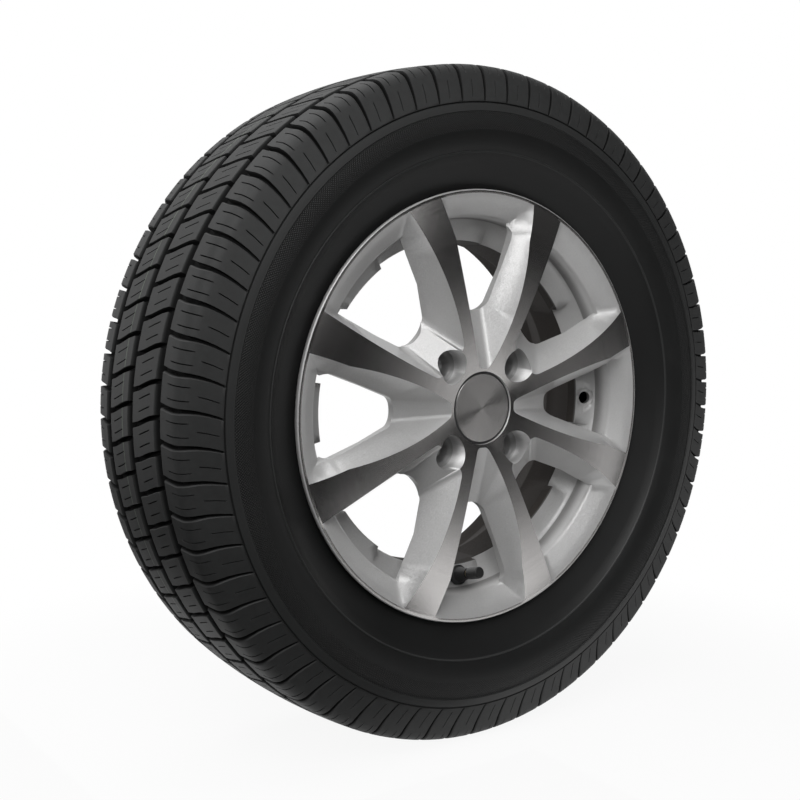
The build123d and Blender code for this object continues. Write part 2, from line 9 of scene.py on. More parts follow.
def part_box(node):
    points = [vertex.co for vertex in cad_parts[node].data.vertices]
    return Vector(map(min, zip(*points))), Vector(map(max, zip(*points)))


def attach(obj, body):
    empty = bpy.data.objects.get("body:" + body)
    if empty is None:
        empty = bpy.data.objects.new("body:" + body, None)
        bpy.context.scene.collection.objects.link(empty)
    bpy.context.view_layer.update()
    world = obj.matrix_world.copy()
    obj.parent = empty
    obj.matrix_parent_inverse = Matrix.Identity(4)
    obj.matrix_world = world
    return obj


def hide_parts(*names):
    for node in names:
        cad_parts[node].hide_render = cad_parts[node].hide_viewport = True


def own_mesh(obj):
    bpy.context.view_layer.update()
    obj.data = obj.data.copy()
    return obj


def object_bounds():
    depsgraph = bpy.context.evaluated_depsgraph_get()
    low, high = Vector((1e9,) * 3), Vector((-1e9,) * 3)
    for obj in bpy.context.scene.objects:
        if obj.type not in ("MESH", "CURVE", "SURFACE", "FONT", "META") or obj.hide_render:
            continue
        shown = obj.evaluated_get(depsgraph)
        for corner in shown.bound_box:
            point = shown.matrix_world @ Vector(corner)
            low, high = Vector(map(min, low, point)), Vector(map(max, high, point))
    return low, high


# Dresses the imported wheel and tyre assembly: finishes, moulded tread, valve details, studio and camera.
# The frame is in metres, with +Y along the spin axis towards the vehicle and the outboard face along -Y.

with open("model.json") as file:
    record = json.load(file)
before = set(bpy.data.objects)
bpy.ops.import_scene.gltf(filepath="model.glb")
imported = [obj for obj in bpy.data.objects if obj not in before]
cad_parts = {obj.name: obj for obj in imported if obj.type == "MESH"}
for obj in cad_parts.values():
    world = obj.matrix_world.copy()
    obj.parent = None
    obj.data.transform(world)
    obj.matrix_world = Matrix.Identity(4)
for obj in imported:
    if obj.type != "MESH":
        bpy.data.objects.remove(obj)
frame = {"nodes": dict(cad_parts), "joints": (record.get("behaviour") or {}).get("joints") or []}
cad_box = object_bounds()
nodes = frame["nodes"]
MM = 0.001


# Node helpers

class Value:
    """A number socket of a node tree; arithmetic on it adds Math nodes."""

    def __init__(self, graph, socket):
        self.graph = graph
        self.socket = socket

    def __add__(self, other):
        return self.graph.math("ADD", self, other)

    def __sub__(self, other):
        return self.graph.math("SUBTRACT", self, other)

    def __rsub__(self, other):
        return self.graph.math("SUBTRACT", other, self)

    def __mul__(self, other):
        return self.graph.math("MULTIPLY", self, other)

    def __truediv__(self, other):
        return self.graph.math("DIVIDE", self, other)

    __radd__ = __add__
    __rmul__ = __mul__

    def sine(self):
        return self.graph.math("SINE", self)

    def ramp(self, low, high):
        """0 at low and below, 1 at high and above, smooth between."""
        node = self.graph.add("ShaderNodeMapRange", {"interpolation_type": "SMOOTHSTEP", "clamp": True},
                              {"Value": self, "From Min": low, "From Max": high})
        return Value(self.graph, node.outputs["Result"])

    def band(self, low, high, soft):
        """1 from low to high, fading out over a soft margin on both sides."""
        return self.ramp(low - soft, low) * (1 - self.ramp(high, high + soft))


class Graph:
    """A node tree with one way to add a node: its type, its settings, then its sockets."""

    def __init__(self, tree):
        self.tree = tree

    def add(self, kind, settings=None, sockets=None):
        node = self.tree.nodes.new(kind)
        for name, setting in (settings or {}).items():
            setattr(node, name, setting)
        for name, value in (sockets or {}).items():
            self.plug(node.inputs[name], value)
        return node

    def plug(self, socket, value):
        if isinstance(value, Value):
            value = value.socket
        if isinstance(value, bpy.types.NodeSocket):
            self.tree.links.new(value, socket)
        else:
            socket.default_value = value

    def value(self, socket):
        return Value(self, socket)

    def math(self, operation, *operands):
        node = self.add("ShaderNodeMath", {"operation": operation}, dict(enumerate(operands)))
        return self.value(node.outputs[0])

    def mix(self, factor, first, second):
        node = self.add("ShaderNodeMix", {"data_type": "RGBA"}, {"Factor": factor, 6: first, 7: second})
        return node.outputs[2]

    def vector(self, operation, *operands):
        node = self.add("ShaderNodeVectorMath", {"operation": operation}, dict(enumerate(operands)))
        return node.outputs[0]

    def scaled(self, vector, factor):
        node = self.add("ShaderNodeVectorMath", {"operation": "SCALE"}, {0: vector, "Scale": factor})
        return node.outputs[0]


class Finish(Graph):
    """A material on the Principled shader, with the object's own coordinates to hand."""

    def __init__(self, name, **sockets):
        self.material = bpy.data.materials.new(name)
        self.material.use_nodes = True
        super().__init__(self.material.node_tree)
        self.shader = self.tree.nodes["Principled BSDF"]
        self.set(**sockets)
        self.place = self.add("ShaderNodeTexCoord").outputs["Object"]
        split = self.add("ShaderNodeSeparateXYZ", None, {0: self.place})
        self.x, self.y, self.z = (self.value(out) for out in split.outputs)

    def set(self, **sockets):
        for name, value in sockets.items():
            self.plug(self.shader.inputs[name.replace("_", " ").title().replace("Ior", "IOR")], value)

    def radius(self):
        """Distance from the spin axis."""
        return self.math("SQRT", self.x * self.x + self.z * self.z)

    def angle(self):
        return self.math("ARCTAN2", self.x, self.z)

    def noise(self, scale, detail=2.0, place=None):
        node = self.add("ShaderNodeTexNoise", {"noise_dimensions": "3D"},
                        {"Vector": place or self.place, "Scale": scale, "Detail": detail})
        return self.value(node.outputs[0])

    def rings(self, scale, detail=2.0):
        """Noise that changes only with the distance from the spin axis, as a lathe leaves it."""
        node = self.add("ShaderNodeTexNoise", {"noise_dimensions": "1D"},
                        {"W": self.radius(), "Scale": scale, "Detail": detail})
        return self.value(node.outputs[0])

    def grey(self, brightness, tint=(1.0, 1.0, 1.0)):
        """A colour from a varying brightness and a fixed tint."""
        node = self.add("ShaderNodeCombineColor", None,
                        {name: brightness * part for name, part in zip(("Red", "Green", "Blue"), tint)})
        return node.outputs[0]

    def bump(self, height, distance, strength=1.0):
        node = self.add("ShaderNodeBump", None, {"Height": height, "Distance": distance, "Strength": strength})
        self.set(normal=node.outputs[0])


# Finishes

FLAKE_SCALE = 1500.0             # cells per metre
FLAKE_TILT = 0.16
WALL_SHADE_DEPTH = (-52 * MM, -40 * MM)  # depth where painted shade on the window walls starts
# Depth where the barrel is fully dark: a guessed dark coat with painted shade.
DARK_INSIDE_DEPTH = (-33 * MM, -28 * MM)
SILVER_FACING = (-0.5, -0.25)      # faces that look this far outboard stay silver; those turned away take the painted shade and dark coat
# Bolt pockets, where painted shade darkens the paint.
BOLT_PLACE = 35.36 * MM          # of each bolt, across and up
POCKET_EDGE = ((14.2 * MM) ** 2, (14.9 * MM) ** 2)  # squares of the distance from a bolt
POCKET_DEPTH = (-66 * MM, -56 * MM)
BARREL = (0.118, 0.132)          # radii where the painted shade and dark coat set in
CUT_SHADE = (0.1, 0.5)            # share of a slit's depth over which painted shade darkens the rubber
RIB_LINE = (0.2103, 0.2119)      # pale moulded lines on the wall, by radius
STEP_LINE = (0.2421, 0.2432)
RIDGE = (0.2434, 0.2487)         # paler ridge under the shoulder blocks
STRIPE = (14.4 * MM, 15.4 * MM)  # thin pale line round the tread
TREAD_SHADE = (0.2485, 0.2520)   # radii where the dusty tread starts
HATCH_BAND = (0.2285, 0.2418)    # hatched band of the wall, by radius
HATCH_COUNT = 700                # hatch lines round the wall, each way
HATCH_SPACING = 3000.0           # radians per metre of radius


def silver_paint():
    """Silver paint with fine flake and painted shade in the bolt pockets, turning dull brown inside the
    barrel: a guessed dark coat with painted shade on faces turned away from the front.
    """
    finish = Finish("silver_paint", coat_roughness=0.12, coat_ior=1.45)
    flake = finish.add("ShaderNodeTexVoronoi", {"feature": "F1"},
                       {"Vector": finish.place, "Scale": FLAKE_SCALE})
    tilt = finish.vector("SUBTRACT", flake.outputs["Color"], (0.5, 0.5, 0.5))
    normal = finish.add("ShaderNodeNewGeometry").outputs["Normal"]
    tilted = finish.vector("NORMALIZE", finish.vector("ADD", normal, finish.scaled(tilt, FLAKE_TILT)))
    facing = finish.add("ShaderNodeSeparateXYZ", None, {0: normal}).outputs["Y"]
    turned_away = finish.value(facing).ramp(*SILVER_FACING)
    # Painted shade deepens into the windows and the barrel on faces turned away from the front; deepest, it is
    # also a guessed dark coat.
    depth = 0.55 * finish.y.ramp(*WALL_SHADE_DEPTH) + 0.45 * finish.y.ramp(*DARK_INSIDE_DEPTH)
    inside = depth * turned_away * finish.radius().ramp(*BARREL)
    cloud = finish.noise(28.0)
    grain = finish.noise(1300.0, 1.0)
    bolt_x = finish.math("ABSOLUTE", finish.x) - BOLT_PLACE
    bolt_z = finish.math("ABSOLUTE", finish.z) - BOLT_PLACE
    near_bolt = 1 - (bolt_x * bolt_x + bolt_z * bolt_z).ramp(*POCKET_EDGE)
    pocket_shade = near_bolt * finish.y.ramp(*POCKET_DEPTH)
    # Painted shade darkens the paint inside the bolt pockets.
    bright = (0.50 + 0.10 * grain + 0.05 * cloud) * (1 - 0.6 * pocket_shade)
    silver = finish.grey(bright, (1.0, 0.995, 0.99))
    # Dull brown: a guessed dark coat inside the barrel, with painted shade.
    dull = finish.grey(0.012 + 0.012 * cloud, (1.0, 0.74, 0.58))
    finish.set(base_color=finish.mix(inside, silver, dull), metallic=0.38 * (1 - inside),
               roughness=0.44 + 0.06 * cloud + 0.36 * inside, coat_weight=0.3 * (1 - inside), normal=tilted)
    return finish.material


def turned_metal(name, brightness, spread, roughness):
    """Metal turned on a lathe: each ring leans a little in or out, which stretches highlights."""
    finish = Finish(name, metallic=1.0, specular_tint=(1, 1, 1, 1))
    radius = finish.radius()
    out = finish.add("ShaderNodeCombineXYZ", None, {"X": finish.x / radius, "Z": finish.z / radius}).outputs[0]
    lean = []
    for start in (0.0, 7.3):
        chance = finish.add("ShaderNodeTexWhiteNoise", {"noise_dimensions": "1D"}, {"W": radius + start})
        lean.append(finish.value(chance.outputs["Value"]))
    tilt = (lean[0] + lean[1] - 1.0) * spread
    normal = finish.add("ShaderNodeNewGeometry").outputs["Normal"]
    tilted = finish.vector("NORMALIZE", finish.vector("ADD", normal, finish.scaled(out, tilt)))
    lines = finish.rings(2600.0, 1.0)
    bands = finish.rings(240.0, 2.0)
    tone = brightness * (0.86 + 0.16 * lines + 0.10 * bands)
    finish.set(base_color=finish.grey(tone, (1.0, 0.975, 0.96)), roughness=roughness + 0.05 * bands,
               normal=tilted)
    return finish.material


def tyre_rubber():
    """Moulded rubber: dusty tread, painted shade in the cuts, near-black walls with pale lines and a hatched
    band.
    """
    finish = Finish("tyre_rubber", specular_ior_level=0.3)
    radius = finish.radius()
    angle = finish.angle()
    tread = radius.ramp(*TREAD_SHADE)
    cloud = finish.noise(22.0, 3.0)
    dust = finish.noise(160.0, 4.0)
    depth = finish.add("ShaderNodeAttribute", {"attribute_name": "cut"}).outputs["Fac"]
    cut = finish.value(depth).ramp(*CUT_SHADE)
    lines = (radius.band(*RIB_LINE, 0.3 * MM) + 0.6 * radius.band(*STEP_LINE, 0.3 * MM)
             + 0.8 * radius.band(*RIDGE, 0.5 * MM))
    # The cuts get painted shade, darker the deeper they go.
    shade = (0.009 + 0.005 * cloud + tread * (0.010 + 0.012 * dust) + 0.022 * lines) * (1 - 0.92 * cut)
    hatch_band = radius.band(*HATCH_BAND, 0.8 * MM)
    along = angle * HATCH_COUNT
    across = radius * HATCH_SPACING
    hatch = ((along + across).sine() + (along - across).sine()) * 0.5 * hatch_band
    grain = finish.noise(900.0, 3.0)
    stripe = finish.y.band(*STRIPE, 0.4 * MM) * tread * (1 - cut) * (0.25 + 0.5 * dust)
    black = finish.grey(shade, (0.98, 1.0, 1.0))
    finish.set(base_color=finish.mix(stripe, black, (0.16, 0.19, 0.15, 1)),
               roughness=0.42 + 0.10 * cloud + 0.12 * tread + 0.06 * hatch_band + 0.3 * cut)
    finish.bump(hatch + 0.25 * grain, 0.2 * MM)
    return finish.material


def moulded(name, colour, roughness, grain=0.06, scale=1600.0):
    """Plain moulded plastic or rubber with a fine grain."""
    finish = Finish(name)
    cloud = finish.noise(220.0)
    dark, pale = ((*[share * c for c in colour], 1) for share in (0.8, 1.2))
    finish.set(base_color=finish.mix(cloud, dark, pale), roughness=roughness - 0.05 + 0.1 * cloud)
    finish.bump(finish.noise(scale, 3.0), grain * MM)
    return finish.material


def bright_metal(name, colour, roughness):
    """Machined metal with slight stains."""
    finish = Finish(name, metallic=1.0)
    stain = finish.noise(700.0, 3.0)
    finish.set(base_color=finish.mix(stain, (*[0.82 * c for c in colour], 1), (*colour, 1)),
               roughness=roughness + 0.14 * stain)
    finish.bump(finish.noise(5200.0, 1.0), 0.01 * MM)
    return finish.material


paint = silver_paint()
turned = turned_metal("turned_face", 0.58, 0.25, 0.20)
turned_disc = turned_metal("turned_disc", 0.62, 0.5, 0.17)
rubber = tyre_rubber()
cap_black = moulded("cap_plastic", (0.030, 0.030, 0.031), 0.42)
valve_rubber = moulded("valve_rubber", (0.016, 0.016, 0.016), 0.55)
seal_rubber = moulded("seal_rubber", (0.030, 0.030, 0.030), 0.6)
red_seal = moulded("core_gasket", (0.36, 0.03, 0.02), 0.45)
dust_black = moulded("dust_cap_plastic", (0.018, 0.018, 0.018), 0.38)
brass = bright_metal("machined_brass", (0.78, 0.60, 0.30), 0.22)
spring_steel = bright_metal("spring_steel", (0.60, 0.60, 0.61), 0.2)


# Meshes and Geometry Nodes

def new_object(name, verts, faces, material):
    mesh = bpy.data.meshes.new(name)
    mesh.from_pydata(verts, [], faces)
    mesh.materials.append(material)
    piece = bpy.data.objects.new(name, mesh)
    bpy.context.scene.collection.objects.link(piece)
    return piece


def settle(piece, sharp):
    """Turns the faces outwards and shades them smooth up to a sharp angle in degrees."""
    work = bmesh.new()
    work.from_mesh(piece.data)
    bmesh.ops.recalc_face_normals(work, faces=work.faces)
    work.to_mesh(piece.data)
    work.free()
    piece.data.polygons.foreach_set("use_smooth", [True] * len(piece.data.polygons))
    piece.data.set_sharp_from_angle(angle=radians(sharp))
    return piece


def geometry_tree(name, inputs):
    """An empty Geometry Nodes tree with named inputs; gives the tree, its graph and its input sockets."""
    tree = bpy.data.node_groups.new(name, "GeometryNodeTree")
    tree.interface.new_socket(name="Geometry", in_out="OUTPUT", socket_type="NodeSocketGeometry")
    for label, kind in inputs.items():
        tree.interface.new_socket(name=label, in_out="INPUT", socket_type=kind)
    graph = Graph(tree)
    return tree, graph, graph.add("NodeGroupInput").outputs


def ring_tree():
    """Repeats the object's mesh round an axis and joins the copies where their edges meet."""
    tree, graph, given = geometry_tree("ring_of_copies", {
        "Geometry": "NodeSocketGeometry", "Count": "NodeSocketInt", "Axis": "NodeSocketVector",
        "Centre": "NodeSocketVector", "Join": "NodeSocketFloat", "Material": "NodeSocketMaterial"})
    points = graph.add("GeometryNodePoints", None, {"Count": given["Count"], "Position": given["Centre"]})
    index = graph.value(graph.add("GeometryNodeInputIndex").outputs[0])
    step = index * (2 * pi) / graph.value(given["Count"])
    turn = graph.add("FunctionNodeAxisAngleToRotation", None, {"Axis": given["Axis"], "Angle": step})
    copies = graph.add("GeometryNodeInstanceOnPoints", None, {
        "Points": points.outputs[0], "Instance": given["Geometry"], "Rotation": turn.outputs[0]})
    real = graph.add("GeometryNodeRealizeInstances", None, {"Geometry": copies.outputs[0]})
    joined = graph.add("GeometryNodeMergeByDistance", None, {
        "Geometry": real.outputs[0], "Distance": given["Join"]})
    dressed = graph.add("GeometryNodeSetMaterial", None, {
        "Geometry": joined.outputs[0], "Material": given["Material"]})
    graph.add("NodeGroupOutput", None, {"Geometry": dressed.outputs[0]})
    return tree


def wound_tree():
    """A wire wound round an axis, for the thread of the stem and the spring of the core."""
    tree, graph, given = geometry_tree("wound_wire", {
        "Turns": "NodeSocketFloat", "Radius": "NodeSocketFloat", "Height": "NodeSocketFloat",
        "Wire": "NodeSocketFloat", "Foot": "NodeSocketVector", "Lean": "NodeSocketVector",
        "Material": "NodeSocketMaterial"})
    coil = graph.add("GeometryNodeCurveSpiral", None, {
        "Resolution": 32, "Rotations": given["Turns"], "Start Radius": given["Radius"],
        "End Radius": given["Radius"], "Height": given["Height"]})
    section = graph.add("GeometryNodeCurvePrimitiveCircle", None, {"Resolution": 8, "Radius": given["Wire"]})
    wire = graph.add("GeometryNodeCurveToMesh", None, {
        "Curve": coil.outputs[0], "Profile Curve": section.outputs[0], "Fill Caps": True})
    placed = graph.add("GeometryNodeTransform", None, {
        "Geometry": wire.outputs[0], "Translation": given["Foot"], "Rotation": given["Lean"]})
    real = graph.add("GeometryNodeRealizeInstances", None, {"Geometry": placed.outputs[0]})
    dressed = graph.add("GeometryNodeSetMaterial", None, {
        "Geometry": real.outputs[0], "Material": given["Material"]})
    graph.add("NodeGroupOutput", None, {"Geometry": dressed.outputs[0]})
    return tree


def grow(piece, tree, **inputs):
    """Runs a Geometry Nodes tree on a piece and leaves the result as its plain mesh."""
    modifier = piece.modifiers.new(tree.name, "NODES")
    modifier.node_group = tree
    for item in tree.interface.items_tree:
        if item.in_out == "INPUT" and item.name in inputs:
            modifier[item.identifier] = inputs[item.name]
    grown = piece.evaluated_get(bpy.context.evaluated_depsgraph_get())
    mesh = bpy.data.meshes.new_from_object(grown)
    piece.modifiers.remove(modifier)
    piece.data = mesh
    return piece


ring_of_copies = ring_tree()
wound_wire = wound_tree()


def finish_piece(piece, body, slot, *replaced):
    """Ties a piece to its body and hides the CAD nodes that it stands for. The slot is not used."""
    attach(piece, body)
    if replaced:
        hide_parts(*replaced)


# Tyre

TREAD_PITCHES = 68
TREAD_DEPTH = 7.0
CROSS_DEPTH = 6.0
SIPE_DEPTH = 2.6
TREAD_INSIDE = 272.0             # the casing inside the tread lies below this radius
GROOVE_PLACE = 44.0              # middle of the outer grooves round the tread
GROOVE_HALF = 4.5
CROSS_HALF = 2.0
GROOVE_CHAMFER = 0.5
CROWN_DROP = 3.2                 # of the crown at its end
CROWN_END = 64.0
FAR_PHASE = 0.254                # of one pitch, between the two halves of the tread
CENTRE_PHASE_PER_MM = 0.00843    # slant of the grooves across the centre rows
CENTRE_MIDDLE = 22.0
CENTRE_BEND = 0.03               # of one pitch, how far those grooves swing off a straight line
SHOULDER_PHASE = 0.445
SHOULDER_TURN = 74.0             # where the curve of a shoulder groove turns, along the section
SHOULDER_BEND = 1.70e-4          # of one pitch, by the square of the length from that turn
FLANK_BEND = 2.78e-4
SLIT_HALF = 0.5
GROOVE_WALL = 0.35               # run of a cross groove's steep wall
GROOVE_RUN = 0.8                 # and of the wall of a groove round the tread
COLUMNS = 11                     # lines of the mesh in one pitch
HALF_RIM = 57.15
FLANGE_ROUND = 9.5               # the lower wall leaves the rounded flange on a tangent
BEAD_GAP = 0.15
CHAMBER_START = 174.7            # radius inside the bead where the chamber begins

tyre_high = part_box("tyre")[1]
crown_r = tyre_high.z / MM
half_section = tyre_high.y / MM
rim_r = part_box("alloy_wheel")[1].z / MM
pitch_length = 2 * pi * crown_r / TREAD_PITCHES


def crown_height(off):
    return crown_r - CROWN_DROP * (off / CROWN_END) ** 2


def circle_through(first, middle, last):
    """Centre and size of the circle through three (radius, y) points."""
    (ax, ay), (bx, by), (cx, cy) = first, middle, last
    d = 2 * (ax * (by - cy) + bx * (cy - ay) + cx * (ay - by))
    a, b, c = ax * ax + ay * ay, bx * bx + by * by, cx * cx + cy * cy
    ox = (a * (by - cy) + b * (cy - ay) + c * (ay - by)) / d
    oy = (a * (cx - bx) + b * (ax - cx) + c * (bx - ax)) / d
    return ox, oy, hypot(ax - ox, ay - oy)


def arc_points(first, middle, last, count):
    """Points on the circle through three (radius, y) points, from first to last."""
    ox, oy, size = circle_through(first, middle, last)
    start, end = (atan2(y - oy, r - ox) for r, y in (first, last))
    angles = [start + (end - start) * k / (count - 1) for k in range(count)]
    return [(ox + size * cos(t), oy + size * sin(t)) for t in angles]


def shoulder_line(along):
    """Phase of a shoulder groove at a length along the section from the crown."""
    off = SHOULDER_TURN - along
    return SHOULDER_PHASE + (SHOULDER_BEND if off > 0 else -FLANK_BEND) * off * off


def centre_line(along):
    off = along - CENTRE_MIDDLE
    return CENTRE_PHASE_PER_MM * off + CENTRE_BEND * sin(pi * off / CENTRE_MIDDLE)


def block_columns(line, cut, sipe, half, chamfer, first_sipe, second_sipe, lower_sipe):
    """(phase, depth) of the mesh lines of one pitch: a groove with one broken edge and two fine slits."""
    offsets = [(-half - chamfer, 0.0), (-half, 0.75 * chamfer * (1 if cut else 0)), (-half + GROOVE_WALL, cut),
               (half - GROOVE_WALL, cut), (half, 0.0)]
    columns = [(line + off / pitch_length, depth) for off, depth in offsets]
    for place, depth in ((first_sipe, max(sipe, lower_sipe)), (second_sipe, sipe)):
        columns += [(line + place - SLIT_HALF / pitch_length, 0.0), (line + place, depth),
                    (line + place + SLIT_HALF / pitch_length, 0.0)]
    return columns


def half_rings():
    """Section lines from the crown to the bead and back inside: (radius, y, lean of the cut, columns)."""
    rings = []

    def centre(off, drop=0.0, cut=CROSS_DEPTH, sipe=0.0):
        columns = block_columns(centre_line(off), max(cut - drop, 0), sipe, CROSS_HALF, 0.35,
                                0.331, 0.684, 0.0)
        rings.append((crown_height(off) - drop, off, 0.0, columns))

    def shoulder(radius, off, along, lean, cut=CROSS_DEPTH, sipe=0.0, half=CROSS_HALF, chamfer=1.2,
                 lower=0.0):
        slit = 0.275 if along < 80 else 0.45
        columns = block_columns(shoulder_line(along), cut, sipe, half, chamfer, slit, 0.662, lower)
        rings.append((radius, off, lean, columns))

    def wall(radius, off):
        rings.append((radius, off, 0.0, [(k / COLUMNS, 0.0) for k in range(COLUMNS)]))

    near, far = GROOVE_PLACE - GROOVE_HALF, GROOVE_PLACE + GROOVE_HALF
    centre(GROOVE_HALF - GROOVE_RUN, TREAD_DEPTH)
    centre(GROOVE_HALF, GROOVE_CHAMFER)
    centre(GROOVE_HALF + GROOVE_CHAMFER)
    for off, sipe in ((15.2, 0.0), (16.2, SIPE_DEPTH), (24.0, SIPE_DEPTH), (31.4, SIPE_DEPTH), (32.4, 0.0)):
        centre(off, sipe=sipe)
    centre(near - GROOVE_CHAMFER)
    centre(near, GROOVE_CHAMFER)
    centre(near + GROOVE_RUN, TREAD_DEPTH)
    shoulder(crown_height(far) - TREAD_DEPTH, far - GROOVE_RUN, far, 0.0, cut=0.0)
    shoulder(crown_height(far) - GROOVE_CHAMFER, far, far, 0.0, CROSS_DEPTH - GROOVE_CHAMFER)
    shoulder(crown_height(far), far + GROOVE_CHAMFER, far, 0.0)
    for off, sipe in ((56.8, 0.0), (57.8, SIPE_DEPTH), (CROWN_END, SIPE_DEPTH)):
        shoulder(crown_height(off), off, off, 0.0, sipe=sipe)
    shoulder_end = (crown_r - 11.6, half_section - 10.4)
    bend = arc_points((crown_r - CROWN_DROP, CROWN_END), (crown_r - 6.1, CROWN_END + 6.9), shoulder_end, 5)
    for k, (radius, off) in enumerate(bend[1:], 1):
        shoulder(radius, off, CROWN_END + 3.4 * k, 3 + 17 * k, CROSS_DEPTH - 0.5 * k,
                 SIPE_DEPTH * (1, 1, 0.6, 0)[k - 1], half=CROSS_HALF - 0.12 * k, chamfer=1.2 - 0.05 * k)
    block_end = (crown_r - 34.5, half_section - 2.5)
    for down, cut, lower in ((0.22, 3.4, 0.0), (0.27, 3.3, 1.6), (0.55, 2.7, 1.6), (0.84, 2.0, 1.6),
                             (0.88, 1.9, 0.0), (0.95, 1.6, 0.0), (1.0, 0.0, 0.0)):
        radius = shoulder_end[0] + down * (block_end[0] - shoulder_end[0])
        off = shoulder_end[1] + down * (block_end[1] - shoulder_end[1])
        shoulder(radius, off, 78.0 + 24.2 * down, 71.0, cut, half=1.5 - 0.5 * down, chamfer=1 - 0.5 * down,
                 lower=lower)
    # Thin line under the blocks, ridge, and the step above the hatched band
    for drop, inset in ((34.9, 3.4), (35.6, 3.4), (36.0, 2.2), (38.6, 1.4), (41.9, 0.7), (42.6, 1.5)):
        wall(crown_r - drop, half_section - inset)
    rib = (rim_r + 29.0, half_section - 6.5)
    step = (crown_r - 42.7, half_section - 1.4)
    for radius, off in arc_points(step, (crown_r - 54.8, half_section), rib, 9)[1:-1]:
        wall(radius, off)
    # Rib line, then the lower wall down to the flange
    for up, out in ((0.9, 0.35), (0.5, 0.8), (-0.2, 0.7), (-0.6, -0.15)):
        wall(rib[0] + up, rib[1] + out)
    reach = FLANGE_ROUND + BEAD_GAP
    flange = [(rim_r - FLANGE_ROUND + reach * cos(radians(turn)),
               HALF_RIM + FLANGE_ROUND - reach * sin(radians(turn))) for turn in (59, 70, 80, 90)]
    foot = flange[0]
    for share in (0.25, 0.55, 0.85):
        sag = 0.8 * sin(pi * share)
        wall(rib[0] + share * (foot[0] - rib[0]), rib[1] + share * (foot[1] - rib[1]) - sag)
    for radius, off in flange:
        wall(radius, off)
    # Bead seat and toe, then the chamber's wall
    for radius, off in ((167.0, 57.0), (164.85, 54.8), (163.6, 42.3), (CHAMBER_START, 42.3), (196.0, 64.0),
                        (211.0, 70.0), (230.0, 78.3), (250.0, 75.5), (264.5, 67.0), (270.3, 44.0),
                        (270.5, 14.0)):
        wall(radius, off)
    return rings


def lined_up(columns, before):
    """Starts a ring's repeating columns where they lie nearest those of the ring before."""
    columns = sorted(columns)
    best = None
    for shift in range(-2 * COLUMNS, 2 * COLUMNS):
        places = [divmod(k + shift, COLUMNS) for k in range(COLUMNS)]
        moved = [(columns[place][0] + turns, columns[place][1]) for turns, place in places]
        cost = sum((a[0] - b) ** 2 for a, b in zip(moved, before))
        if best is None or cost < best[0]:
            best = (cost, moved)
    return best[1]


def tread_slice():
    """One pitch of the tyre as a closed section swept over one pitch angle."""
    half = half_rings()
    outer = next(k for k, ring in enumerate(half) if ring[0] == CHAMBER_START)
    near = [(radius, -off, lean, columns) for radius, off, lean, columns in half]
    far = [(radius, off, lean, [(FAR_PHASE - phase, depth) for phase, depth in columns])
           for radius, off, lean, columns in half]
    loop = near[outer - 1::-1] + far + near[:outer - 1:-1]
    before = [k / COLUMNS for k in range(COLUMNS)]
    verts = []
    cuts = []
    for radius, off, lean, columns in loop:
        columns = lined_up(columns, before)
        before = [phase for phase, _ in columns]
        side = 1 if off > 0 else -1
        below = crown_height(off) - radius if TREAD_INSIDE < radius and abs(off) < CROWN_END else 0.0
        for phase, depth in columns + [(columns[0][0] + 1, columns[0][1])]:
            cuts.append(min((below + depth) / SIPE_DEPTH, 1.0))
            turn = phase * 2 * pi / TREAD_PITCHES
            r = (radius - depth * cos(radians(lean))) * MM
            verts.append((r * sin(turn), (off - side * depth * sin(radians(lean))) * MM, r * cos(turn)))
    across = COLUMNS + 1
    count = len(loop)
    faces = []
    for j in range(count):
        here, there = j * across, (j + 1) % count * across
        faces += [(here + i, here + i + 1, there + i + 1, there + i) for i in range(COLUMNS)]
    return verts, faces, cuts


slice_verts, slice_faces, slice_cuts = tread_slice()
tyre = new_object("moulded_tyre", slice_verts, slice_faces, rubber)
# Depth of each point below the tread face, which the rubber turns into painted shade in the cuts.
tyre.data.attributes.new("cut", "FLOAT", "POINT").data.foreach_set("value", slice_cuts)
grow(tyre, ring_of_copies, Count=TREAD_PITCHES, Axis=(0.0, 1.0, 0.0), Centre=(0.0, 0.0, 0.0), Join=0.02 * MM,
     Material=rubber)
settle(tyre, 32)
finish_piece(tyre, "wheel", "tyre", "tyre")


# Wheel

HUB_EDGE = (31.0, -65.0)         # the turned face is an arc through these (radius, y) points
FACE_CROWN = (108.0, -77.5)
LIP_PLACE = (178.7, -67.95)
FACE_TOLERANCE = 0.3


